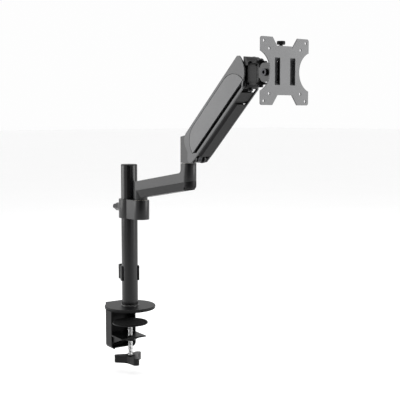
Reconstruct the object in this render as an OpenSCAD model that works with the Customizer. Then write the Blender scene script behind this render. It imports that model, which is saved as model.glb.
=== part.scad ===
// Desk monitor arm: a clamp base with a pole, a height collar, a lower arm,
// a gas-spring arm that keeps its head level, and a quick-release VESA head.
//
// Frame: millimetres, +Z up. The origin is on the pole's axis at the desk's
// top face. The arm points along -Y, so "forward" f is -y, and profiles are
// drawn in (f, z) and extruded along X.

/* [Pole and base] */
// Outer diameter of the pole
pole_d = 35; // [34:0.5:36]
// Height of the pole's top edge above the desk
pole_top = 309; // [300:1:400]
// Wall of the pole tube
pole_wall = 2; // [1.5:0.1:2.5]
// Diameter of the base plate
base_d = 110; // [100:1:120]
// Angle of the clamp and base about the pole
base_yaw = -6; // [-10:1:10]

/* [Clamp] */
// Width of the clamp bracket
bracket_w = 61; // [56:1:64]
// Bracket's open front edge, behind the pole's axis
bracket_front = 30; // [30:1:32]
// Bracket's rear face, behind the pole's axis
bracket_rear = 56; // [54:1:60]
// Depth of the bracket below the desk's top face
bracket_drop = 95; // [92:1:100]
// Top face of the lower jaw, below the desk's top face
jaw_drop = 65; // [62:1:68]
// Gap between the base pad and the pressure pad
clamp_gap = 30; // [28:1:34]
// Diameter of the pressure plate
pressure_d = 76; // [70:1:78]

/* [Lower arm] */
// Lower face of the collar
collar_z = 197; // [150:1:200]
// Height of the collar
collar_h = 40.5; // [38:0.5:42]
// Pole axis to the lower arm's swivel axis
swivel_f = 42.5; // [42:0.5:45]
// Swivel axis to the elbow axis
lower_len = 161.5; // [150:0.5:190]
// Width of the lower arm
lower_w = 28; // [28:1:30]
// Upward slope of the lower arm
lower_pitch = 9.5; // [8:0.5:10]

/* [Spring arm] */
// Length between the spring arm's two main pivots
spring_len = 200; // [195:1:230]
// Upward slope of the spring arm at rest
spring_pitch = 43.8; // [40:0.1:46]
// Width over the side panels
spring_w = 40; // [40:0.5:42]

/* [Head] */
// Swivel pin to the spring arm's upper pivot
pin_ahead = 28; // [28:0.5:30]
// Tilt bolt to the swivel pin
tilt_ahead = 25; // [25:0.5:27]
// Plate's front face to the tilt bolt
plate_ahead = 36; // [36:0.5:38]
// Thickness of the VESA plate
plate_t = 2.5; // [2:0.1:3]
// Diameter of the VESA holes
vesa_hole = 5; // [4.5:0.1:5.5]

/* [Hidden] */
$fn = 96;

// Small gap between faces that only touch
gap = 0.05;

// Pole and base
pole_r = pole_d / 2;
steel_t = 3;
pad_t = 3;
plate_z = pad_t;
plate_h = 3.5;
base_top = plate_z + plate_h;
rim_edge = 1.2;
leg_t = 2.4;
leg_front = -12;
bracket_corner = 9;
bracket_lip = 37;
screw_r = 5;
jaw_t = 3;
jaw_z = -jaw_drop;
jaw_front = -15.6;
jaw_bolt_x = 15;
jaw_bolt_z = jaw_z - 14;
knob_top = -103;
knob_h = 17;
knob_reach = 35;
knob_turn = 140;
clip_z = 61;
clip_h = 31;

// Collar and lower arm
collar_top = collar_z + collar_h;
collar_mid = collar_z + collar_h / 2;
collar_r = pole_r + 5;
collar_half_w = 17.5;
shaft_r = 7;
bush_r = 9;
flange_t = 0.75;
slope = tan(lower_pitch);
half_w = lower_w / 2;
elbow_f = swivel_f + lower_len;
column_top = collar_top + 84.2;
column_back = elbow_f - 10;
column_nose = elbow_f + half_w;
metal_h = 19.4;
cover_h = 16.3;
fillet_r = 8;
round_r = 6;
nose_r = 8;

// Spring arm
pivot_f = elbow_f + 26.5;
pivot_z = column_top + 9.8;
arm_half_in = 14.6;
arm_half_out = 17;
panel_in = 17.2;
panel_out = spring_w / 2;
top_p = 44;
under_p = -8.7;
slot_p = [-4.7, 2];
trim_p = 2.3;
link_back = 6;
link_up = 27;
link_in = 11.9;
link_out = 14.2;
lug_half = 11.6;
slot_half = 9.6;
link_pin_r = 3;
pivot_pin_r = 4;
trunnion_up = 18;
trunnion_r = 4;

// Head
c2_f = pivot_f + spring_len * cos(spring_pitch);
c2_z = pivot_z + spring_len * sin(spring_pitch);
head_z = c2_z + 18.6;
pin_f = c2_f + pin_ahead;
tilt_f = pin_f + tilt_ahead;
plate_f = tilt_f + plate_ahead;
web_f = c2_f + 1.2;
web_t = 7;
ear_in = 16.8;
ear_out = 20.6;
ear_r = 12;
pin_r = 4;
cheek_in = 8.9;
cheek_out = 12;
cheek_half_h = 16.5;
turn_r = 4;

// Points of an elliptic arc about c, from angle a0 to a1
function arc(c, rx, ry, a0, a1, n = 16) =
  [for (i = [0:n]) let (a = a0 + (a1 - a0) * i / n) [c[0] + rx * cos(a), c[1] + ry * sin(a)]];

// Heights of the lower arm's seam, top and underside at distance f
function seam(f) = collar_top + 20.6 + slope * (f - swivel_f);
function bar_top(f) = seam(f) + metal_h;
function bar_low(f) = seam(f) - cover_h;

// Link pivots lie behind and above the main pivots; this is the offset in
// the spring arm's own directions, along it and square to it
link_a = -link_back * cos(spring_pitch) + link_up * sin(spring_pitch);
link_p = link_back * sin(spring_pitch) + link_up * cos(spring_pitch);

// The gas spring runs from the lower pivot to the trunnion in the head
trunnion_f = c2_f - link_back / link_up * trunnion_up;
trunnion_z = c2_z + trunnion_up;
gas_angle = atan2(trunnion_z - pivot_z, trunnion_f - pivot_f);
gas_len = norm([trunnion_f - pivot_f, trunnion_z - pivot_z]);

// Extrudes a profile drawn in (forward, up) to a width w about x
module profile(w, x = 0)
  translate([x, 0, 0]) rotate([90, 0, -90]) translate([0, 0, -w / 2]) linear_extrude(w) children();

// A cylinder along X at forward f and height z
module xcyl(r, w, f, z, x = 0)
  translate([x - w / 2, -f, z]) rotate([0, 90, 0]) cylinder(r = r, h = w);

// A cylinder along Z at forward f, from z0 to z1
module zcyl(r, z0, z1, f = 0)
  translate([0, -f, z0]) cylinder(r = r, h = z1 - z0);

// A cylinder along Y, from y0 to y1, at x and z
module ycyl(r, y0, y1, x = 0, z = 0)
  translate([x, y0, z]) rotate([-90, 0, 0]) cylinder(r = r, h = y1 - y0);

// A block from corner to corner
module block(a, b) translate(a) cube(b - a);

// The same child on the left and on the right
module both_sides() {
  children();
  mirror([1, 0, 0]) children();
}

// Frame of the spring arm: forward runs along it, up is square to it
module in_arm() translate([0, -pivot_f, pivot_z]) rotate([-spring_pitch, 0, 0]) children();

// Frame of the gas spring, from the lower pivot
module in_gas() translate([0, -pivot_f, pivot_z]) rotate([-gas_angle, 0, 0]) children();

// Frame of the tension screw, which leans back from the upper pivot
module in_tension() translate([0, -c2_f, c2_z]) rotate([-atan(link_back / link_up), 0, 0]) children();

// Frame of the base, turned about the pole
module in_base() rotate([0, 0, base_yaw]) children();

// A hexagonal prism along Z, across corners
module hex(r, h) cylinder(r = r, h = h, $fn = 6);

// ---- Base and pole ----

module bracket_outline(inset) {
  r = bracket_corner - inset;
  h = bracket_w / 2 - inset;
  low = -bracket_drop + inset;
  polygon(concat(
    arc([h - r, low + r], r, r, -90, 0, 8),
    [[h, plate_z - gap], [-h, plate_z - gap]],
    arc([-h + r, low + r], r, r, 180, 270, 8)));
}

module base_plate() color("dimgray") in_base() difference() {
  union() {
    zcyl(base_d / 2, plate_z, base_top - rim_edge);
    translate([0, 0, base_top - rim_edge])
      cylinder(r1 = base_d / 2, r2 = base_d / 2 - rim_edge, h = rim_edge);
    block([-bracket_w / 2, 20, plate_z], [bracket_w / 2, bracket_rear, base_top]);
  }
  translate([0, 0, plate_z - 1]) cylinder(r = 4.1, h = plate_h + 2);
  translate([0, 0, plate_z - gap]) cylinder(r1 = 7.6, r2 = 4.1, h = 3);
  for (x = [-20, 20]) translate([x, 38, plate_z - 1]) cylinder(r = 2.52, h = 3.4);
  translate([0, 47, plate_z - 1]) cylinder(r = 2.52, h = 3.4);
}

module base_pad() color("black") in_base() difference() {
  zcyl(base_d / 2 - 1, 0, pad_t - gap);
  block([-bracket_w / 2 - 0.5, leg_front - 0.5, pad_t - leg_t - gap],
        [bracket_w / 2 + 0.5, base_d, pad_t + 1]);
  block([-bracket_w / 2 - 0.5, bracket_front - 0.5, -1], [bracket_w / 2 + 0.5, base_d, pad_t + 1]);
}

module clamp_bracket() color("dimgray") in_base() difference() {
  union() {
    translate([0, bracket_rear, 0]) rotate([90, 0, 0])
      linear_extrude(bracket_rear - bracket_front) bracket_outline(0);
    block([-bracket_w / 2, leg_front, pad_t - leg_t], [bracket_w / 2, bracket_rear, pad_t - gap]);
  }
  difference() {
    translate([0, bracket_rear - steel_t, 0]) rotate([90, 0, 0])
      linear_extrude(bracket_rear) bracket_outline(steel_t);
    block([-bracket_w, leg_front - 1, pad_t - leg_t], [bracket_w, bracket_rear, pad_t]);
  }
  block([-bracket_w / 2 + bracket_corner, bracket_front - 1, -bracket_drop - 1],
        [bracket_w / 2 - bracket_corner, bracket_lip, -bracket_drop + steel_t + 1]);
  zcyl(9, -1, pad_t + 1);
  for (x = [-20, 20]) translate([x, 38, -1]) cylinder(r = 5, h = 5);
  translate([0, 47, -1]) cylinder(r = 5, h = 5);
  for (s = [-1, 1])
    ycyl(3.1, bracket_rear - steel_t - 1, bracket_rear + 1, s * jaw_bolt_x, jaw_bolt_z);
}

module bracket_screw() {
  translate([0, 0, pad_t - leg_t]) cylinder(r = 4.9, h = 2.3);
  translate([0, 0, pad_t - leg_t + 2]) cylinder(r = 2.5, h = 2.6);
}

module bracket_screws() color("gray") in_base() {
  for (x = [-20, 20]) translate([x, 38, 0]) bracket_screw();
  translate([0, 47, 0]) bracket_screw();
}

module jaw_gusset(x) {
  rear = bracket_rear - steel_t - 3;
  translate([x, 0, 0]) rotate([90, 0, 90]) translate([0, 0, -1.4]) linear_extrude(2.8)
    polygon([[rear, jaw_z], [rear, jaw_z - 22], [rear - 6, jaw_z - 22], [jaw_front + 8, jaw_z]]);
}

module lower_jaw() color("dimgray") in_base() difference() {
  rear = bracket_rear - steel_t - gap;
  union() {
    block([-27.3, 20, jaw_z], [27.3, rear, jaw_z + jaw_t]);
    block([-bracket_w / 2, jaw_front, jaw_z], [bracket_w / 2, bracket_front - 0.3, jaw_z + jaw_t]);
    block([-27.3, rear - 3, jaw_z - 24], [27.3, rear, jaw_z + 1]);
    for (x = [-25.9, 25.9]) jaw_gusset(x);
  }
  zcyl(8, jaw_z - 1, jaw_z + jaw_t + 1);
  for (s = [-1, 1]) ycyl(3.1, rear - 4, rear + 1, s * jaw_bolt_x, jaw_bolt_z);
}

module jaw_bolts() color("silver") in_base() for (s = [-1, 1]) {
  y = bracket_rear - steel_t - 3 - 2 * gap;
  difference() {
    ycyl(5, y - 5, y, s * jaw_bolt_x, jaw_bolt_z);
    translate([s * jaw_bolt_x, y - 6, jaw_bolt_z]) rotate([-90, 0, 0]) hex(2.9, 4);
  }
  ycyl(3, y - 0.5, bracket_rear + 7, s * jaw_bolt_x, jaw_bolt_z);
}

module jaw_nuts() color("silver") in_base() for (s = [-1, 1])
  translate([s * jaw_bolt_x, bracket_rear + gap, jaw_bolt_z]) rotate([-90, 0, 0]) difference() {
    hex(5.8, 5);
    translate([0, 0, -1]) cylinder(r = 3.02, h = 7);
  }

module jaw_screw_nut() color("dimgray") difference() {
  union() {
    zcyl(7.95, jaw_z - 3, jaw_z + jaw_t + 1.5);
    zcyl(10, jaw_z - 6, jaw_z - gap);
  }
  zcyl(screw_r + gap, jaw_z - 10, jaw_z + 10);
}

module pole() color("#2b2b2b") difference() {
  zcyl(pole_r, base_top + gap, pole_top);
  zcyl(pole_r - pole_wall, base_top - 1, pole_top + 1);
}

module pole_anchor() color("gray") difference() {
  zcyl(pole_r - pole_wall - gap, base_top + gap, base_top + 20);
  zcyl(4.02, base_top - 1, base_top + 21);
}

module pole_bolt() color("silver") difference() {
  union() {
    translate([0, 0, plate_z]) cylinder(r1 = 7.5, r2 = 4, h = 2.9);
    zcyl(4, plate_z + 2.5, base_top + 18);
  }
  translate([0, 0, plate_z - 1]) hex(2.9, 2.5);
}

module pole_cap() color("black") union() {
  zcyl(pole_r - 0.2, pole_top + gap, pole_top + 1.2);
  translate([0, 0, pole_top + 1.2]) cylinder(r1 = pole_r - 0.2, r2 = pole_r - 1.2, h = 0.9);
  difference() {
    zcyl(pole_r - pole_wall - gap, pole_top - 12, pole_top + 0.5);
    zcyl(pole_r - pole_wall - 2, pole_top - 13, pole_top - 1);
  }
}

// ---- Clamp screw ----

module clamp_screw() color("silver") union() {
  zcyl(screw_r, knob_top - 12, -clamp_gap - 8);
  zcyl(3.4, -clamp_gap - 8.5, -clamp_gap - 3.6);
}

// Outline of the knob: three wings with hollow sides between them
function polar(r, a) = [r * cos(a), r * sin(a)];

module knob_outline() polygon([for (a = [0, 120, 240]) each concat(
  [polar(13.5, a - 60), polar(14.5, a - 47), polar(18, a - 30)],
  arc(polar(knob_reach - 7, a), 7, 7, a - 75, a + 75, 10),
  [polar(18, a + 30), polar(14.5, a + 47)])]);

module clamp_knob() color("black") difference() {
  rotate([0, 0, knob_turn]) union() {
    translate([0, 0, knob_top - knob_h]) linear_extrude(knob_h - 1.5) knob_outline();
    zcyl(10, knob_top - knob_h, knob_top);
  }
  zcyl(screw_r + 0.02, knob_top - 12.1, knob_top + 1);
}

module pressure_plate() color("dimgray") difference() {
  union() {
    zcyl(pressure_d / 2, -clamp_gap - 3.5, -clamp_gap - 1.5);
    zcyl(9, -clamp_gap - 7.8, -clamp_gap - 3);
  }
  zcyl(3.5, -clamp_gap - 9, -clamp_gap - 3.4);
}

module pressure_pad() color("black") zcyl(pressure_d / 2 - 1, -clamp_gap - 1.5 + gap, -clamp_gap);

// ---- Cable clip ----

module cable_clip() color("black") difference() {
  union() {
    zcyl(pole_r + 3.1, clip_z, clip_z + clip_h);
    zcyl(8, clip_z, clip_z + clip_h, -29);
    block([-4, pole_r, clip_z], [4, 24, clip_z + clip_h]);
  }
  zcyl(pole_r + 0.1, clip_z - 1, clip_z + clip_h + 1);
  zcyl(5.8, clip_z - 1, clip_z + clip_h + 1, -29);
  block([2, 25, clip_z - 1], [10, 30.5, clip_z + clip_h + 1]);
  // Mouth the pole is pushed in through
  translate([0, 0, clip_z - 1]) rotate([0, 0, 245]) linear_extrude(clip_h + 2)
    polygon([[0, 0], [25, -53.6], [60, -40], [60, 40], [25, 53.6]]);
}

// ---- Collar ----

module pole_collar() color("#3a3a3a") difference() {
  union() {
    zcyl(collar_r, collar_z, collar_top);
    block([-collar_half_w, -swivel_f, collar_z], [collar_half_w, 0, collar_top]);
    zcyl(collar_half_w, collar_z, collar_top, swivel_f);
    ycyl(8.8, 0, 44, 0, collar_mid);
    translate([0, 0, collar_mid]) rotate([-90, 0, 0]) translate([0, 0, 20])
      cylinder(r1 = 14, r2 = 8.8, h = 14);
  }
  zcyl(pole_r + 1.1, collar_z - 1, collar_top + 1);
  zcyl(bush_r, collar_z - 1, collar_top + 1, swivel_f);
  zcyl(12, collar_z - 1, collar_z + 6, swivel_f);
  ycyl(6, 0, 27, 0, collar_mid);
  ycyl(3.02, 0, 50, 0, collar_mid);
}

module collar_liner() color("black") difference() {
  zcyl(pole_r + 1.05, collar_z + 0.3, collar_top - 0.3);
  zcyl(pole_r + 0.1, collar_z - 1, collar_top + 1);
}

module collar_shoe() color("tan") ycyl(5.8, pole_r + 1.4, pole_r + 4, 0, collar_mid);

module collar_bolt() color("silver") difference() {
  union() {
    ycyl(2.97, pole_r + 4.1, 50, 0, collar_mid);
    ycyl(5.3, 49, 55, 0, collar_mid);
  }
  translate([0, 51.5, collar_mid]) rotate([-90, 0, 0]) hex(2.9, 5);
}

module collar_bushes() color("tan") {
  difference() {
    union() {
      zcyl(bush_r - gap, collar_top - 10, collar_top + gap, swivel_f);
      zcyl(13, collar_top + gap, collar_top + flange_t, swivel_f);
    }
    zcyl(shaft_r + gap, collar_top - 11, collar_top + 2, swivel_f);
  }
  difference() {
    zcyl(bush_r - gap, collar_z + 6 + gap, collar_z + 16, swivel_f);
    zcyl(shaft_r + gap, collar_z + 5, collar_z + 17, swivel_f);
  }
}

// ---- Lower arm ----

// Plan of the lower arm: round at the swivel and at the column's nose
module lower_plan() {
  zcyl(half_w, 0, column_top + 1, swivel_f);
  zcyl(half_w, 0, column_top + 1, elbow_f);
  block([-half_w, -elbow_f, 0], [half_w, -swivel_f, column_top + 1]);
}

module lower_arm() color("#5a5a5a") difference() {
  union() {
    intersection() {
      profile(lower_w + 2) polygon(concat(
        [[swivel_f - half_w, seam(swivel_f - half_w)], [column_nose, seam(column_nose)],
         [column_nose, column_top], [column_back, column_top]],
        arc([column_back - fillet_r, bar_top(column_back - fillet_r) + fillet_r / cos(lower_pitch)],
            fillet_r, fillet_r, 0, lower_pitch - 90, 8),
        arc([swivel_f - half_w + round_r, bar_top(swivel_f - half_w + round_r) - round_r],
            round_r, round_r, 90 + lower_pitch, 180, 8)));
      lower_plan();
    }
    zcyl(half_w, collar_top + flange_t + gap, seam(swivel_f) + 6, swivel_f);
  }
  profile(lower_w - 7) polygon([
    [60, seam(60) - 1], [184, seam(184) - 1], [184, bar_top(184) - 4], [60, bar_top(60) - 4]]);
  zcyl(shaft_r + 0.02, collar_top, collar_top + 30, swivel_f);
  zcyl(bush_r, column_top - 40, column_top + 1, elbow_f);
  zcyl(11, 200, column_top - 29, elbow_f);
}

module lower_arm_cover() color("#3c3c3c") difference() {
  intersection() {
    profile(lower_w + 2) polygon(concat(
      [[46.7, seam(46.7) - 0.1], [60, bar_low(60)], [column_nose - 9, bar_low(column_nose - 9)]],
      arc([column_nose - 9, bar_low(column_nose - 9) + 9], 9, 9, -90, 0, 8),
      [[column_nose, seam(column_nose) - 0.1]]));
    lower_plan();
  }
  // Round lower edge of the nose
  difference() {
    block([-20, -elbow_f - 20, bar_low(elbow_f) - 5], [20, -elbow_f, column_top]);
    translate([0, -elbow_f, bar_low(elbow_f) + 0.6]) rotate_extrude() polygon(concat(
      [[0, 0]], arc([half_w - nose_r, nose_r], nose_r, nose_r, -90, 0, 10),
      [[half_w + 5, nose_r], [half_w + 5, 60], [0, 60]]));
  }
  profile(lower_w - 4.4) polygon([
    [50, seam(50) + 1], [187, seam(187) + 1], [187, bar_low(187) + 2.2], [62, bar_low(62) + 2.2]]);
  zcyl(half_w + 0.2, 200, column_top, swivel_f);
  zcyl(11, 200, column_top, elbow_f);
}

module swivel_shaft() color("silver") difference() {
  zcyl(shaft_r, collar_z + 6.1, collar_top + 29, swivel_f);
  zcyl(3.02, collar_z, collar_z + 22, swivel_f);
}

module washer(r_out, r_in, z0, z1, f) difference() {
  zcyl(r_out, z0, z1, f);
  zcyl(r_in, z0 - 1, z1 + 1, f);
}

// Socket screw pointing up, with its head's top at z and its tip at z1
module socket_screw(z, z1, f) difference() {
  union() {
    zcyl(5, z - 3.2, z, f);
    zcyl(3, z - 0.5, z1, f);
  }
  translate([0, -f, z - 4]) hex(2.4, 2.6);
}

module swivel_washer() color("silver")
  washer(11, 3.2, collar_z + 4.2, collar_z + 6, swivel_f);

module swivel_screw() color("dimgray")
  socket_screw(collar_z + 4.15, collar_z + 20, swivel_f);

module elbow_bushes() color("tan") {
  difference() {
    union() {
      zcyl(bush_r - gap, column_top - 12, column_top + gap, elbow_f);
      zcyl(13, column_top + gap, column_top + flange_t, elbow_f);
    }
    zcyl(shaft_r + gap, column_top - 13, column_top + 2, elbow_f);
  }
  difference() {
    zcyl(bush_r - gap, column_top - 28.9, column_top - 18, elbow_f);
    zcyl(shaft_r + gap, column_top - 30, column_top - 17, elbow_f);
  }
}

// ---- Yoke ----

module elbow_yoke() color("#4a4a4a") difference() {
  low = column_top + flange_t + gap;
  k_f = pivot_f - link_back;
  k_z = pivot_z + link_up;
  union() {
    intersection() {
      profile(lower_w) polygon([[column_back, low], [column_nose, low], [pivot_f, pivot_z - 9],
        [pivot_f + 8, pivot_z + 4], [k_f + 7.6, k_z + 2.5], [k_f - 4, k_z + 7],
        [elbow_f + 4, column_top + 54.5], [column_back, column_top + 51.7]]);
      union() {
        zcyl(half_w, low, column_top + 60, elbow_f);
        block([-half_w, -pivot_f - 20, low + 0.5], [half_w, -elbow_f, column_top + 60]);
        block([-half_w, -elbow_f, low], [half_w, -column_back, column_top + 60]);
      }
    }
    xcyl(9, lower_w, pivot_f, pivot_z);
    xcyl(8, 2 * lug_half, k_f, k_z);
  }
  // Room for the gas spring between the cheeks
  xcyl(19, 2 * slot_half, pivot_f, pivot_z);
  profile(2 * slot_half) polygon([[pivot_f, pivot_z - 18], [pivot_f + 30, pivot_z - 18],
    [pivot_f + 30, pivot_z + 18.5], [pivot_f, pivot_z + 18.5]]);
  // Rebates for the link bars
  for (s = [-1, 1]) {
    xcyl(9, 4, k_f, k_z, s * (lug_half + 2));
    profile(4, s * (lug_half + 2)) polygon([[k_f - 2, k_z - 9], [k_f + 30, k_z - 14],
      [k_f + 30, k_z + 30], [k_f - 7, k_z + 6]]);
  }
  xcyl(pivot_pin_r + gap, 40, pivot_f, pivot_z);
  xcyl(link_pin_r + gap, 40, k_f, k_z);
  zcyl(shaft_r + 0.02, low - 1, low + 9, elbow_f);
}

module elbow_spindle() color("silver") difference() {
  zcyl(shaft_r, column_top - 29.8, column_top + 9, elbow_f);
  zcyl(3.02, column_top - 30, column_top - 14, elbow_f);
}

module elbow_washer() color("silver")
  washer(10.5, 3.2, column_top - 31.8, column_top - 29.9, elbow_f);

module elbow_screw() color("dimgray")
  socket_screw(column_top - 31.85, column_top - 16, elbow_f);

// ---- Spring arm ----

module arm_channel() color("#303030") in_arm() difference() {
  union() {
    both_sides() profile(arm_half_out - arm_half_in, (arm_half_in + arm_half_out) / 2)
      polygon(concat(
        arc([0, 0], 7, 7, 120, 270, 8),
        [[10, -7], [16, 2.3], [197, 2.3], [201, -8]],
        arc([spring_len, 0], 8, 8, -80, 50, 8),
        [[spring_len - 48, top_p - 0.2], [26, top_p - 0.2], [14, 36], [6, 16]]));
    both_sides() profile(2.2, arm_half_in - 0.8) polygon([[16, -3], [188, -3], [188, 4], [16, 4]]);
    profile(2 * arm_half_out) polygon([[26, top_p - 3], [spring_len - 48, top_p - 3],
      [spring_len - 48, top_p - 0.2], [26, top_p - 0.2]]);
  }
  xcyl(pivot_pin_r + 0.02, 60, 0, 0);
  xcyl(pivot_pin_r + 0.02, 60, spring_len, 0);
}

// Outline of a side panel, along the arm and square to it
module panel_outline() polygon(concat(
  arc([0, 0], 8, 8, 112, 268, 12),
  [[20, under_p], [195, under_p]],
  arc([191.8, 36], 38.5, 38.5, -60, 6, 12),
  [[226, top_p], [23, top_p]],
  arc([27.5, 22], 22, 22, 118, 178, 6),
  [[3.4, 13.5]]));

// Outline of the inset trim, grown by g
module trim_outline(g) polygon(concat(
  [[14 - g, trim_p - g], [171 + 36.5 + g, trim_p - g]],
  arc([171, trim_p], 36.5 + g, 36 + g, 4, 90, 16),
  arc([52, trim_p], 38 + g, 36 + g, 90, 176, 16)));

module side_panel() difference() {
  profile(panel_out - panel_in, (panel_in + panel_out) / 2) panel_outline();
  profile(10, panel_out) polygon([[14.5, slot_p[1]], [22, slot_p[0]], [196.5, slot_p[0]],
    [203.5, slot_p[1]]]);
  profile(4, panel_out + 2 - 1.5) trim_outline(1);
}

module side_panel_right() color("#6a6a6a") in_arm() side_panel();
module side_panel_left() color("#6a6a6a") in_arm() mirror([1, 0, 0]) side_panel();

module trim() profile(1.7, panel_out - 0.6) trim_outline(0);

module trim_right() color("#8f8f8f") in_arm() trim();
module trim_left() color("#8f8f8f") in_arm() mirror([1, 0, 0]) trim();

// The underside cover, drawn in (x, up)
module long_cable_cover() color("#3a3a3a") in_arm()
  translate([0, -14, 0]) rotate([90, 0, 0]) linear_extrude(142)
    polygon([[-17.1, -7.5], [-13, -5.4], [-9, -5.4], [-5, -8.3], [17.1, -8.3], [17.1, -5],
      [15.6, -5], [15.6, -6.5], [-4, -6.5], [-7.8, -3.1], [-15.3, -3.1], [-15.3, -5], [-17.1, -5]]);

module short_cable_cover() color("#3a3a3a") in_arm() profile(2 * arm_half_out + 0.2) polygon([
  [156.1, -5.2], [156.1, -3.4], [164, -3.4], [166, -4.9], [185, -4.9], [185, -7], [163.5, -7],
  [162.5, -5.2]]);

module lower_pivot_pin() color("silver") in_arm() xcyl(pivot_pin_r, 2 * arm_half_out - 0.2, 0, 0);

module upper_pivot_screws() color("silver") in_arm() both_sides()
  xcyl(pivot_pin_r, 8, spring_len, 0, arm_half_out - 4.1);

module gas_cylinder() color("#202020") in_gas() difference() {
  union() {
    xcyl(7, 10, 0, 0);
    block([-4.5, -14, -5], [4.5, -5, 5]);
    ycyl(8, -128, -22);
    ycyl(5, -23, -5);
  }
  xcyl(pivot_pin_r + 0.02, 20, 0, 0);
  ycyl(7, -119, -26);
  ycyl(4.06, -130, -118);
}

module gas_rod() color("silver") in_gas() {
  ycyl(4, -198, -66);
  ycyl(6.9, -74, -66);
  ycyl(6, -gas_len + trunnion_r + 5, -196);
}

module link_bars() color("#454545") in_arm() both_sides() difference() {
  w = link_out - link_in;
  x = (link_in + link_out) / 2;
  union() {
    xcyl(7, w, link_a, link_p, x);
    xcyl(7, w, link_a + spring_len, link_p, x);
    profile(w, x) polygon([[link_a, link_p - 4], [link_a + spring_len, link_p - 4],
      [link_a + spring_len, link_p + 4], [link_a, link_p + 4]]);
  }
  xcyl(link_pin_r + 0.02, 40, link_a, link_p);
  xcyl(link_pin_r + 0.02, 40, link_a + spring_len, link_p);
}

module link_pins() color("silver") in_arm() {
  xcyl(link_pin_r, 2 * link_out, link_a, link_p);
  xcyl(link_pin_r, 2 * link_out, link_a + spring_len, link_p);
}

// ---- Head ----

module head_bracket() color("#2a2a2a") difference() {
  k_f = c2_f - link_back;
  k_z = c2_z + link_up;
  low = head_z - ear_out;
  high = head_z + ear_out;
  union() {
    xcyl(9, 2 * arm_half_in - 1, c2_f, c2_z);
    xcyl(8, 2 * lug_half, k_f, k_z);
    profile(2 * lug_half) polygon([[c2_f - 4, c2_z - 8], [web_f + web_t, low],
      [web_f + web_t, high], [web_f, high], [k_f - 4, k_z + 6.5], [k_f - 8, k_z - 2]]);
    for (z = [low, head_z + ear_in]) {
      block([-ear_r + 0.4, -pin_f, z], [ear_r - 0.4, -web_f, z + ear_out - ear_in]);
      zcyl(ear_r, z, z + ear_out - ear_in, pin_f);
    }
  }
  // Slot for the trunnion, open to the rear
  difference() {
    profile(14.4) polygon([[c2_f - 20, c2_z - 4], [web_f + 1, c2_z - 4],
      [web_f + 0.6, c2_z + 25], [k_f - 2, k_z - 3.6], [c2_f - 20, k_z - 10]]);
    in_tension() block([-8, -12, -12], [8, 12, -5]);
  }
  in_tension() zcyl(2.55, -30, 21);
  in_tension() zcyl(5.4, -20, -8);
  xcyl(pivot_pin_r + gap, 60, c2_f, c2_z);
  xcyl(link_pin_r + gap, 60, k_f, k_z);
  zcyl(pin_r + 0.02, low - 1, high + 1, pin_f);
}

module tension_screw() color("silver") in_tension() difference() {
  union() {
    zcyl(5, -13, -8.05);
    zcyl(2.5, -8.5, 23.5);
  }
  translate([0, 0, -14]) hex(2.4, 3.5);
}

module trunnion() color("gray") in_tension() difference() {
  translate([-7.1, 0, trunnion_up / cos(atan(link_back / link_up))])
    rotate([0, 90, 0]) cylinder(r = trunnion_r, h = 14.2);
  zcyl(2.56, 0, 40);
}

module head_cover() color("#1c1c1c") difference() {
  profile(2 * arm_half_out - 0.2) polygon(concat(
    [[web_f + 1, head_z + 13.5], [web_f + 12.4, head_z + 13.5]],
    arc([web_f + 2, head_z + 13], 11, 16.5, 8, 95, 10)));
  profile(2 * ear_r + 0.6) polygon([[web_f - 5, head_z], [web_f + 20, head_z],
    [web_f + 20, head_z + ear_out + gap], [web_f - 5, head_z + ear_out + gap]]);
}

module head_pin() color("silver") union() {
  zcyl(pin_r, head_z - ear_out - 1, head_z + ear_out + 1, pin_f);
  zcyl(6.2, head_z + ear_out + gap, head_z + ear_out + 2.2, pin_f);
  translate([0, -pin_f, head_z + ear_out + 2.2]) cylinder(r1 = 6.2, r2 = 3.4, h = 2.4);
  zcyl(5.4, head_z - ear_out - 4.6, head_z - ear_out - gap, pin_f);
}

module head_washers() color("tan") for (z = [head_z + 15.9, head_z - ear_in + gap])
  washer(8.5, pin_r + gap, z, z + 0.8, pin_f);

module swivel_block() color("#333333") difference() {
  union() {
    zcyl(6.3, head_z - 15.8, head_z + 15.8, pin_f);
    block([-6, -tilt_f, head_z - 9], [6, -pin_f, head_z + 9]);
    xcyl(10, 2 * cheek_in - 0.4, tilt_f, head_z);
  }
  zcyl(pin_r + gap, head_z - 20, head_z + 20, pin_f);
  xcyl(pin_r + gap, 40, tilt_f, head_z);
}

module tilt_bracket() color("#8a8a8a") difference() {
  r = 9;
  back = tilt_f - 14;
  front = tilt_f + 22.6;
  union() {
    both_sides() profile(cheek_out - cheek_in, (cheek_in + cheek_out) / 2) polygon(concat(
      arc([back + r, head_z - cheek_half_h + r], r, r, 180, 270, 8),
      [[front, head_z - cheek_half_h], [front, head_z + cheek_half_h]],
      arc([back + r, head_z + cheek_half_h - r], r, r, 90, 180, 8)));
    block([-cheek_out, -front, head_z - cheek_half_h], [cheek_out, -front + 3, head_z + cheek_half_h]);
  }
  xcyl(pin_r + 0.02, 60, tilt_f, head_z);
  ycyl(turn_r + gap, -front - 1, -front + 4, 0, head_z);
}

module tilt_bolt() color("#1e1e1e") difference() {
  union() {
    xcyl(pin_r, 2 * cheek_out + 7.4, tilt_f, head_z, 2.3);
    xcyl(6.3, 4.5, tilt_f, head_z, -cheek_out - 2.3);
  }
  translate([-cheek_out - 6, -tilt_f, head_z]) rotate([0, 90, 0]) hex(3.4, 4.2);
}

module tilt_nut() color("#1e1e1e") translate([cheek_out + gap, -tilt_f, head_z])
  rotate([0, 90, 0]) difference() {
    hex(6.8, 5);
    translate([0, 0, -1]) cylinder(r = pin_r + 0.02, h = 8);
  }

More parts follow.
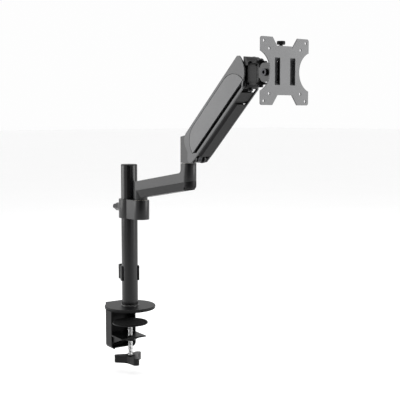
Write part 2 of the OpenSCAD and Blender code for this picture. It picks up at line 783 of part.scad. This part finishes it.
module turn_spacer() color("tan") difference() {
  back = tilt_f + 22.6 + gap;
  ycyl(11, -back - 5.5, -back, 0, head_z);
  ycyl(turn_r + gap, -back - 6, -back + 1, 0, head_z);
}

module turn_rivet() color("silver") union() {
  back = tilt_f + 19.6 - gap;
  ycyl(turn_r, -plate_f + 3.4, -back + 1, 0, head_z);
  ycyl(6.4, -back, -back + 3.5, 0, head_z);
}

module receiver_plate() color("#1d1d1d") difference() {
  front = plate_f - plate_t - 0.2;
  union() {
    block([-11.4, -front, head_z - 36], [11.4, -front + 4.4, head_z + 39]);
    block([-17, -front, head_z + 27], [17, -front + 3, head_z + 39]);
    block([-8, -front, head_z + 36], [8, -front + 12.8, head_z + 39]);
  }
  ycyl(turn_r + 0.02, -front - 1, -front + 10, 0, head_z);
  zcyl(3.05, head_z + 30, head_z + 45, plate_f - 10.5);
}

// Half of the plate's outline, from the top notch round to the bottom notch
function plate_side(s) = [for (p = concat(
    [[17.5, 40], [30, 57]],
    arc([53.5, 53], 4, 4, 90, 0, 6),
    [[57.5, 33]],
    arc([69.7, 0], 35.2, 35.2, 112, 248, 20),
    [[57.5, -33]],
    arc([53.5, -53], 4, 4, 0, -90, 6),
    [[30, -57], [17.5, -40]])) [s * p[0], p[1]]];

module plate_outline() polygon(concat(
  plate_side(1), [for (i = [len(plate_side(-1)) - 1:-1:0]) plate_side(-1)[i]]));

// A bridge pressed back out of the plate, over a slot
module bridge() profile(12.5) {
  f = plate_f;
  d = 9.3;
  polygon([[f, 25], [f - plate_t, 25], [f - d, 18], [f - d, -18], [f - plate_t, -25],
    [f, -25], [f - d + plate_t, -17.4], [f - d + plate_t, 17.4]]);
}

module vesa_plate() color("#9a9a9a") difference() {
  union() {
    difference() {
      translate([0, -plate_f + plate_t, head_z]) rotate([90, 0, 0])
        linear_extrude(plate_t) plate_outline();
      for (x = [-18.3, 18.3])
        block([x - 6.25, -plate_f - 1, head_z - 23], [x + 6.25, -plate_f + 5, head_z + 23]);
    }
    for (x = [-18.3, 18.3]) translate([x, 0, head_z]) bridge();
    for (s = [-1, 1]) translate([s * 25.5, 0, head_z]) profile(2) polygon([
      [plate_f - 1, 25], [plate_f - 9.3, 18], [plate_f - 9.3, -18], [plate_f - 1, -25]]);
    block([-16, -plate_f, head_z + 39], [16, -plate_f + plate_t, head_z + 43]);
    block([-16, -plate_f, head_z + 40.5], [16, -plate_f + 16.5, head_z + 43]);
  }
  for (d = [50, 37.5], sx = [-1, 1], sz = [-1, 1])
    ycyl(vesa_hole / 2, -plate_f - 1, -plate_f + 4, sx * d, head_z + sz * d);
  zcyl(3.3, head_z + 38, head_z + 46, plate_f - 10.5);
}

module thumb_screw() color("black") union() {
  zcyl(3, head_z + 31, head_z + 46.2, plate_f - 10.5);
  zcyl(6.75, head_z + 46, head_z + 52, plate_f - 10.5);
}

base_plate();
base_pad();
clamp_bracket();
bracket_screws();
lower_jaw();
jaw_bolts();
jaw_nuts();
jaw_screw_nut();
pole();
pole_anchor();
pole_bolt();
pole_cap();
clamp_screw();
clamp_knob();
pressure_plate();
pressure_pad();
cable_clip();
pole_collar();
collar_liner();
collar_bolt();
collar_shoe();
collar_bushes();
lower_arm();
lower_arm_cover();
swivel_shaft();
swivel_washer();
swivel_screw();
elbow_bushes();
elbow_yoke();
elbow_spindle();
elbow_washer();
elbow_screw();
arm_channel();
side_panel_left();
side_panel_right();
trim_left();
trim_right();
long_cable_cover();
short_cable_cover();
lower_pivot_pin();
upper_pivot_screws();
gas_cylinder();
gas_rod();
link_bars();
link_pins();
head_bracket();
head_cover();
tension_screw();
trunnion();
head_pin();
head_washers();
swivel_block();
tilt_bracket();
tilt_bolt();
tilt_nut();
turn_spacer();
turn_rivet();
receiver_plate();
vesa_plate();
thumb_screw();
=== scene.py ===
"""Monitor arm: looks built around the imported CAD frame."""
import math

import bmesh
import bpy
from mathutils import Matrix, Vector


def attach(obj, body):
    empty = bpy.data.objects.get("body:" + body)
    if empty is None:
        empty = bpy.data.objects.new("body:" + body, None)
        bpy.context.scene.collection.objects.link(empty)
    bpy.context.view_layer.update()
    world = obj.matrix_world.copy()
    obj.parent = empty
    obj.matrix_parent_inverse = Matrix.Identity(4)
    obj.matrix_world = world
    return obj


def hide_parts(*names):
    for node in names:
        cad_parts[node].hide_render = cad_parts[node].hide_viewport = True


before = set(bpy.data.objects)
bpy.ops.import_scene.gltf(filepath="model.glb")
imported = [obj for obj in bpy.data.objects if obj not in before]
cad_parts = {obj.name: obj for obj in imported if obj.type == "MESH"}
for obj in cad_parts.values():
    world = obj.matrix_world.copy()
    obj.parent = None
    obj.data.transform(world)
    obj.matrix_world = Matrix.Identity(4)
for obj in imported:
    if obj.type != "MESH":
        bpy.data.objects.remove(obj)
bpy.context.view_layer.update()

MM = 0.001
HEAD_Z = 0.48853
PLATE_Y = -0.46385
WELD_DISTANCE = 0.00001
BEVEL_SEGMENTS = 3
BEVEL_ANGLE = math.radians(32)
FLOOR_HALF = 30
FLOOR_Z = -0.146
# The camera looks down by this angle, toward this heading in the ground plane
CAMERA_PLACE = (-1.0681, -1.5229, 0.4126)
CAMERA_DOWN = math.radians(5.49)
CAMERA_HEADING = (0.6389, 0.7693)
CAMERA_LENS = 78.33
SENSOR_WIDTH = 36
PAD_ROUNDING = 0.0006


# ---- Materials ----

def new_material(name):
    mat = bpy.data.materials.new(name)
    mat.use_nodes = True
    nt = mat.node_tree
    return mat, nt, nt.nodes["Principled BSDF"]


def add(nt, kind, **inputs):
    node = nt.nodes.new(kind)
    for key, value in inputs.items():
        node.inputs[key.replace("_", " ")].default_value = value
    return node


def ramp(nt, source, a, b, low=0.0, high=1.0):
    node = nt.nodes.new("ShaderNodeMapRange")
    nt.links.new(source, node.inputs["Value"])
    node.inputs["From Min"].default_value = low
    node.inputs["From Max"].default_value = high
    node.inputs["To Min"].default_value = a
    node.inputs["To Max"].default_value = b
    return node.outputs["Result"]


def mixed(nt, factor, a, b):
    node = nt.nodes.new("ShaderNodeMix")
    node.data_type = "RGBA"
    nt.links.new(factor, node.inputs[0])
    node.inputs[6].default_value = (*a, 1)
    node.inputs[7].default_value = (*b, 1)
    return node.outputs[2]


def bumped(nt, bsdf, height, strength, distance):
    node = add(nt, "ShaderNodeBump", Strength=strength, Distance=distance)
    nt.links.new(height, node.inputs["Height"])
    nt.links.new(node.outputs["Normal"], bsdf.inputs["Normal"])
    return node


def noise(nt, coords, scale, detail=3.0, rough=0.55):
    node = add(nt, "ShaderNodeTexNoise", Scale=scale, Detail=detail, Roughness=rough)
    nt.links.new(coords, node.inputs["Vector"])
    return node.outputs["Fac"]


def object_coords(nt):
    return nt.nodes.new("ShaderNodeTexCoord").outputs["Object"]


def edge_wear_and_highlight(nt, coords, scale, radius):
    """Rubbed edges with a painted edge highlight: where a rounded normal leaves the true one,
    broken up by noise.
    """
    soft = nt.nodes.new("ShaderNodeBevel")
    soft.samples = 4
    soft.inputs["Radius"].default_value = radius
    geo = nt.nodes.new("ShaderNodeNewGeometry")
    dot = nt.nodes.new("ShaderNodeVectorMath")
    dot.operation = "DOT_PRODUCT"
    nt.links.new(soft.outputs["Normal"], dot.inputs[0])
    nt.links.new(geo.outputs["Normal"], dot.inputs[1])
    edge = ramp(nt, dot.outputs["Value"], 1, 0, 0.8, 0.985)
    mul = nt.nodes.new("ShaderNodeMath")
    mul.operation = "MULTIPLY"
    nt.links.new(edge, mul.inputs[0])
    nt.links.new(ramp(nt, noise(nt, coords, scale), 0.15, 0.7, 0.4, 0.65), mul.inputs[1])
    return mul.outputs[0]


def powder_coat(name, dark, light, rough, grain=0.35, specular=0.5):
    """Satin powder coat: fine orange peel, faint tone drift and slightly rubbed edges, lightened
    both as wear and as a painted edge highlight.
    """
    mat, nt, bsdf = new_material(name)
    co = object_coords(nt)
    drift = ramp(nt, noise(nt, co, 22, 2), 0, 1, 0.35, 0.65)
    base = mixed(nt, drift, dark, light)
    wear_and_highlight = nt.nodes.new("ShaderNodeMix")
    wear_and_highlight.data_type = "RGBA"
    nt.links.new(edge_wear_and_highlight(nt, co, 90, 0.0006), wear_and_highlight.inputs[0])
    nt.links.new(base, wear_and_highlight.inputs[6])
    # edge colour: lighter rubbed paint, and also a painted highlight along the edges
    wear_and_highlight.inputs[7].default_value = (*(c * 3 + 0.01 for c in light), 1)
    nt.links.new(wear_and_highlight.outputs[2], bsdf.inputs["Base Color"])
    speck = noise(nt, co, 1500, 2, 0.6)
    nt.links.new(ramp(nt, noise(nt, co, 260), rough - 0.03, rough + 0.03), bsdf.inputs["Roughness"])
    bsdf.inputs["Specular IOR Level"].default_value = specular
    bumped(nt, bsdf, speck, grain, 0.00004)
    return mat


def moulded(name, color, rough, grain=0.5, specular=0.4):
    """Moulded black plastic with a spark-eroded grain."""
    mat, nt, bsdf = new_material(name)
    co = object_coords(nt)
    drift = ramp(nt, noise(nt, co, 35, 2), 0, 1, 0.35, 0.65)
    nt.links.new(mixed(nt, drift, color, tuple(c * 1.5 for c in color)), bsdf.inputs["Base Color"])
    vor = nt.nodes.new("ShaderNodeTexVoronoi")
    vor.inputs["Scale"].default_value = 1300
    nt.links.new(co, vor.inputs["Vector"])
    nt.links.new(ramp(nt, noise(nt, co, 500), rough - 0.05, rough + 0.08), bsdf.inputs["Roughness"])
    bsdf.inputs["Specular IOR Level"].default_value = specular
    bumped(nt, bsdf, vor.outputs["Distance"], grain, 0.0001)
    return mat


def plated(name, color, rough, axis_scale=(1, 1, 1)):
    """Zinc plate: bright, with fine turning marks and dull patches."""
    mat, nt, bsdf = new_material(name)
    co = object_coords(nt)
    stretch = nt.nodes.new("ShaderNodeMapping")
    stretch.inputs["Scale"].default_value = axis_scale
    nt.links.new(co, stretch.inputs["Vector"])
    lines = noise(nt, stretch.outputs["Vector"], 900, 2, 0.5)
    patch = ramp(nt, noise(nt, co, 70, 3), 0, 1, 0.35, 0.7)
    nt.links.new(mixed(nt, patch, color, tuple(c * 0.75 for c in color)),
                 bsdf.inputs["Base Color"])
    bsdf.inputs["Metallic"].default_value = 1
    nt.links.new(ramp(nt, lines, rough - 0.06, rough + 0.12), bsdf.inputs["Roughness"])
    bumped(nt, bsdf, lines, 0.25, 0.00005)
    return mat


def threaded(name, color, pitch, rough=0.25):
    """Plated steel with a screw thread turned into it, about the Z axis; the thread grooves are
    darkened as painted shade.
    """
    mat, nt, bsdf = new_material(name)
    co = object_coords(nt)
    split = nt.nodes.new("ShaderNodeSeparateXYZ")
    nt.links.new(co, split.inputs[0])
    angle = nt.nodes.new("ShaderNodeMath")
    angle.operation = "ARCTAN2"
    nt.links.new(split.outputs["Y"], angle.inputs[0])
    nt.links.new(split.outputs["X"], angle.inputs[1])
    turns = nt.nodes.new("ShaderNodeMath")
    turns.operation = "MULTIPLY_ADD"
    nt.links.new(split.outputs["Z"], turns.inputs[0])
    turns.inputs[1].default_value = 2 * math.pi / pitch
    nt.links.new(angle.outputs[0], turns.inputs[2])
    wave = nt.nodes.new("ShaderNodeMath")
    wave.operation = "SINE"
    nt.links.new(turns.outputs[0], wave.inputs[0])
    painted_groove_shade = ramp(nt, wave.outputs[0], 0, 1, -1, 1)
    # darker in the thread grooves, where the bump is lowest: painted shade
    nt.links.new(mixed(nt, painted_groove_shade, tuple(c * 0.35 for c in color), color), bsdf.inputs["Base Color"])
    bsdf.inputs["Metallic"].default_value = 1
    nt.links.new(ramp(nt, noise(nt, co, 400), rough - 0.05, rough + 0.1), bsdf.inputs["Roughness"])
    bumped(nt, bsdf, wave.outputs[0], 0.9, 0.0005)
    return mat


def foam(name, color):
    """Foam rubber sheet with open cells, the cell pits darkened as painted shade."""
    mat, nt, bsdf = new_material(name)
    co = object_coords(nt)
    vor = nt.nodes.new("ShaderNodeTexVoronoi")
    vor.inputs["Scale"].default_value = 800
    nt.links.new(co, vor.inputs["Vector"])
    painted_pit_shade = ramp(nt, vor.outputs["Distance"], 0, 1, 0.0, 0.7)
    # darker in the cell pits, where the bump is lowest: painted shade
    nt.links.new(mixed(nt, painted_pit_shade, tuple(c * 0.4 for c in color), color), bsdf.inputs["Base Color"])
    bsdf.inputs["Roughness"].default_value = 0.95
    bsdf.inputs["Specular IOR Level"].default_value = 0.15
    bumped(nt, bsdf, vor.outputs["Distance"], 0.8, 0.0004)
    return mat


coat = powder_coat("satin_coat", (0.0022, 0.0022, 0.0024), (0.0032, 0.0032, 0.0035),
                   0.34, 0.2, 0.1)
bar_coat = powder_coat("bar_coat", (0.007, 0.0071, 0.0074), (0.0095, 0.0096, 0.01), 0.3, 0.2, 0.26)
panel_coat = powder_coat("panel_coat", (0.018, 0.0184, 0.0194), (0.0245, 0.025, 0.0264),
                         0.38, 0.2, 0.44)
plate_coat = powder_coat("plate_coat", (0.035, 0.0355, 0.0375), (0.045, 0.0455, 0.048),
                         0.4, 0.25, 0.5)
trim_coat = powder_coat("trim_coat", (0.026, 0.0265, 0.028), (0.034, 0.0345, 0.0365),
                        0.36, 0.15, 0.5)
pole_coat = powder_coat("pole_coat", (0.003, 0.003, 0.0033), (0.004, 0.004, 0.0044), 0.2, 0.1, 0.3)
disc_coat = powder_coat("disc_coat", (0.0032, 0.0032, 0.0035), (0.0045, 0.0045, 0.0048),
                        0.4, 0.2, 0.13)
plastic = moulded("black_plastic", (0.004, 0.004, 0.0042), 0.45, 0.3, 0.2)
shiny_plastic = moulded("knob_plastic", (0.0018, 0.0018, 0.002), 0.28, 0.15, 0.17)
cover_plastic = moulded("cover_plastic", (0.0028, 0.0028, 0.003), 0.42, 0.3, 0.14)
zinc = plated("zinc_plate", (0.72, 0.72, 0.71), 0.26, (1, 1, 9))
zinc_thread = threaded("zinc_thread", (0.85, 0.85, 0.85), 0.003)
oxide = plated("black_oxide", (0.03, 0.03, 0.032), 0.34, (1, 1, 1))
nylon = moulded("nylon", (0.42, 0.4, 0.36), 0.45, 0.2, 0.5)
black_nylon = moulded("black_nylon", (0.006, 0.006, 0.0062), 0.45, 0.2, 0.4)
foam_mat = foam("foam_rubber", (0.008, 0.008, 0.008))

finish_of = {
    "base_plate": disc_coat, "base_pad": foam_mat, "clamp_bracket": coat, "bracket_screws": zinc,
    "lower_jaw": coat, "jaw_bolts": oxide, "jaw_nuts": oxide, "jaw_screw_nut": coat,
    "pole": pole_coat, "pole_anchor": zinc, "pole_bolt": zinc, "pole_cap": plastic,
    "clamp_screw": zinc_thread, "clamp_knob": shiny_plastic, "pressure_plate": disc_coat,
    "pressure_pad": foam_mat, "cable_clip": plastic, "pole_collar": bar_coat, "collar_liner": nylon,
    "collar_bolt": oxide, "collar_shoe": nylon, "collar_bushes": nylon, "lower_arm": bar_coat,
    "lower_arm_cover": cover_plastic, "swivel_shaft": zinc, "swivel_washer": zinc,
    "swivel_screw": oxide,
    "elbow_bushes": nylon, "elbow_yoke": bar_coat, "elbow_spindle": zinc, "elbow_washer": zinc,
    "elbow_screw": oxide, "arm_channel": coat, "side_panel_left": panel_coat,
    "side_panel_right": panel_coat, "trim_left": trim_coat, "trim_right": trim_coat,
    "long_cable_cover": cover_plastic, "short_cable_cover": cover_plastic, "lower_pivot_pin": oxide,
    "upper_pivot_screws": oxide, "gas_cylinder": oxide, "gas_rod": zinc, "link_bars": coat,
    "link_pins": oxide, "head_bracket": coat, "head_cover": plastic, "tension_screw": oxide,
    "trunnion": zinc, "head_pin": oxide, "head_washers": black_nylon, "swivel_block": bar_coat,
    "tilt_bracket": bar_coat, "tilt_bolt": oxide, "tilt_nut": oxide, "turn_spacer": black_nylon,
    # the receiver plate takes the darkest coat so the gap behind the VESA plate stays dark: painted
    # shade
    "turn_rivet": oxide, "receiver_plate": coat, "vesa_plate": plate_coat, "thumb_screw": plastic,
}
round_edges = {
    "base_plate": 0.4, "clamp_bracket": 0.6, "lower_jaw": 0.5, "pole_cap": 0.5, "clamp_knob": 1.8,
    "pressure_plate": 0.5, "cable_clip": 0.5, "pole_collar": 1.0, "lower_arm": 1.2,
    "lower_arm_cover": 0.9, "elbow_yoke": 0.9, "side_panel_left": 0.8, "side_panel_right": 0.8,
    "trim_left": 0.35, "trim_right": 0.35, "long_cable_cover": 0.5, "short_cable_cover": 0.4,
    "link_bars": 0.4, "head_bracket": 0.6, "head_cover": 0.9, "swivel_block": 0.5,
    "tilt_bracket": 0.4, "vesa_plate": 0.45, "receiver_plate": 0.4, "thumb_screw": 0.7,
    "arm_channel": 0.3, "jaw_bolts": 0.3, "jaw_nuts": 0.3, "tilt_bolt": 0.4, "tilt_nut": 0.3,
    "head_pin": 0.3, "jaw_screw_nut": 0.3,
}
for name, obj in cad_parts.items():
    obj.data.materials.clear()
    obj.data.materials.append(finish_of[name])
    if name in round_edges:
        weld = obj.modifiers.new("weld", "WELD")
        weld.merge_threshold = WELD_DISTANCE
        bevel = obj.modifiers.new("edges", "BEVEL")
        bevel.width = round_edges[name] * MM
        bevel.segments = BEVEL_SEGMENTS
        bevel.limit_method = "ANGLE"
        bevel.angle_limit = BEVEL_ANGLE
        bevel.use_clamp_overlap = True
        bevel.harden_normals = True
        bevel.miter_outer = "MITER_ARC"


# ---- Mesh pieces ----

def piece(name, verts, faces, mat, body, smooth=True):
    mesh = bpy.data.meshes.new(name)
    mesh.from_pydata([tuple(v) for v in verts], [], faces)
    mesh.materials.append(mat)
    obj = bpy.data.objects.new(name, mesh)
    bpy.context.scene.collection.objects.link(obj)
    bm = bmesh.new()
    bm.from_mesh(mesh)
    bmesh.ops.recalc_face_normals(bm, faces=bm.faces)
    bm.to_mesh(mesh)
    bm.free()
    if smooth:
        mesh.polygons.foreach_set("use_smooth", [True] * len(mesh.polygons))
        mesh.set_sharp_from_angle(angle=math.radians(38))
    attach(obj, body)
    return obj


def lathe(profile, place, segments=64, lobes=None):
    """Revolves (radius, height) pairs about Z and moves the result by a matrix."""
    verts, faces = [], []
    n = len(profile)
    for i in range(segments):
        a = 2 * math.pi * i / segments
        grow = lobes(a) if lobes else 0
        for r, h in profile:
            rr = r + (grow if r > 0.6 * max(p[0] for p in profile) else 0)
            verts.append(place @ Vector((rr * math.cos(a), rr * math.sin(a), h)))
    for i in range(segments):
        k = (i + 1) % segments
        for j in range(n):
            m = (j + 1) % n
            faces.append((i * n + j, k * n + j, k * n + m, i * n + m))
    return verts, faces


# Weld bead where the pole meets the base plate
bead = [(0.01755, 0.00652), (0.0195, 0.00655), (0.0191, 0.0075), (0.0183, 0.0083),
        (0.01755, 0.0089)]
v, f = lathe(bead, Matrix.Identity(4), 120, lambda a: 0.00012 * math.sin(38 * a))
piece("pole_weld", v, f, pole_coat, "base")


def foam_pad(name, node, body):
    """The CAD pad's own outline with its edges softened, for the foam sheet."""
    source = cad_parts[node]
    mesh = source.data.copy()
    mesh.name = name
    obj = bpy.data.objects.new(name, mesh)
    obj.matrix_world = source.matrix_world
    bpy.context.scene.collection.objects.link(obj)
    bm = bmesh.new()
    bm.from_mesh(mesh)
    bmesh.ops.remove_doubles(bm, verts=bm.verts, dist=WELD_DISTANCE)
    bmesh.ops.dissolve_limit(bm, angle_limit=math.radians(1), verts=bm.verts, edges=bm.edges)
    sharp = [e for e in bm.edges if len(e.link_faces) == 2
             and e.calc_face_angle(0) > math.radians(40)]
    bmesh.ops.bevel(bm, geom=sharp, offset=PAD_ROUNDING, segments=4, profile=0.5, affect="EDGES",
                    clamp_overlap=True)
    bmesh.ops.triangulate(bm, faces=bm.faces)
    bmesh.ops.recalc_face_normals(bm, faces=bm.faces)
    bm.to_mesh(mesh)
    bm.free()
    mesh.materials.clear()
    mesh.materials.append(foam_mat)
    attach(obj, body)
    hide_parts(node)
    return obj


foam_pad("foam_base_pad", "base_pad", "base")
foam_pad("foam_pressure_pad", "pressure_pad", "clamp_disc")

# Knurled rim of the thumb screw
turn = Matrix.Translation((0, PLATE_Y + 0.0105, HEAD_Z + 0.046))
rim = [(0.0062, 0.0007), (0.00678, 0.0007), (0.00705, 0.0011), (0.00705, 0.0049),
       (0.00678, 0.0053), (0.0062, 0.0053)]
v, f = lathe(rim, turn, 144, lambda a: 0.00022 * (1 if math.sin(36 * a) > 0 else -1))
piece("thumb_knurl", v, f, plastic, "plate_screw", smooth=False)

# ---- Stage and light ----

world = bpy.data.worlds.new("studio")
bpy.context.scene.world = world
world.use_nodes = True
world.node_tree.nodes["Background"].inputs[0].default_value = (0.985, 0.985, 0.985, 1)
world.node_tree.nodes["Background"].inputs[1].default_value = 1.0
bpy.context.scene.view_settings.view_transform = "Standard"

floor_mesh = bpy.data.meshes.new("floor")
floor_mesh.from_pydata([(x * FLOOR_HALF, y * FLOOR_HALF, FLOOR_Z) for x, y in
                        ((-1, -1), (1, -1), (1, 1), (-1, 1))], [], [(0, 1, 2, 3)])
floor = bpy.data.objects.new("floor", floor_mesh)
bpy.context.scene.collection.objects.link(floor)
mat, nt, bsdf = new_material("pale_floor")
co = object_coords(nt)
nt.links.new(mixed(nt, ramp(nt, noise(nt, co, 3), 0, 1), (0.95, 0.95, 0.95), (0.97, 0.97, 0.97)),
             bsdf.inputs["Base Color"])
bsdf.inputs["Roughness"].default_value = 0.7
floor_mesh.materials.append(mat)

# Black card beside the camera, which keeps the faces that look at it dark
card_mesh = bpy.data.meshes.new("flag")
side = Vector((0.7693, -0.6389, 0))
middle = Vector((-0.6389, -0.7693, 0)) * 2.1 + Vector((0, 0, 0.35))
up = Vector((0, 0, 1))
card_mesh.from_pydata([middle + side * a * 1.0 + up * b for a, b in
                       ((-1, -0.44), (1, -0.44), (1, 1.1), (-1, 1.1))], [], [(0, 1, 2, 3)])
card = bpy.data.objects.new("flag", card_mesh)
bpy.context.scene.collection.objects.link(card)
card.visible_camera = False
card.visible_shadow = False
mat, nt, bsdf = new_material("flag_cloth")
co = object_coords(nt)
nt.links.new(mixed(nt, noise(nt, co, 40), (0.004, 0.004, 0.004), (0.008, 0.008, 0.008)),
             bsdf.inputs["Base Color"])
bsdf.inputs["Roughness"].default_value = 1.0
bsdf.inputs["Specular IOR Level"].default_value = 0.0
card_mesh.materials.append(mat)


def softbox(name, place, target, size, power):
    data = bpy.data.lights.new(name, "AREA")
    data.shape = "RECTANGLE"
    data.size, data.size_y = size
    data.energy = power
    obj = bpy.data.objects.new(name, data)
    bpy.context.scene.collection.objects.link(obj)
    obj.location = place
    obj.rotation_euler = (Vector(target) - Vector(place)).to_track_quat("-Z", "Y").to_euler()
    return obj


softbox("left_box", (-1.3, 1.1, 0.75), (0, -0.2, 0.25), (1.3, 1.6), 29)
softbox("right_box", (1.35, -1.65, 0.75), (0, -0.25, 0.25), (1.3, 1.6), 35)
softbox("top_box", (0, -0.3, 2.4), (0, -0.2, 0.2), (1.6, 1.6), 15)

cam_data = bpy.data.cameras.new("camera")
cam_data.lens = CAMERA_LENS
cam_data.sensor_width = SENSOR_WIDTH
camera = bpy.data.objects.new("camera", cam_data)
bpy.context.scene.collection.objects.link(camera)
camera.location = CAMERA_PLACE
look = Vector((*(part * math.cos(CAMERA_DOWN) for part in CAMERA_HEADING), -math.sin(CAMERA_DOWN)))
camera.rotation_euler = look.to_track_quat("-Z", "Y").to_euler()
bpy.context.scene.camera = camera
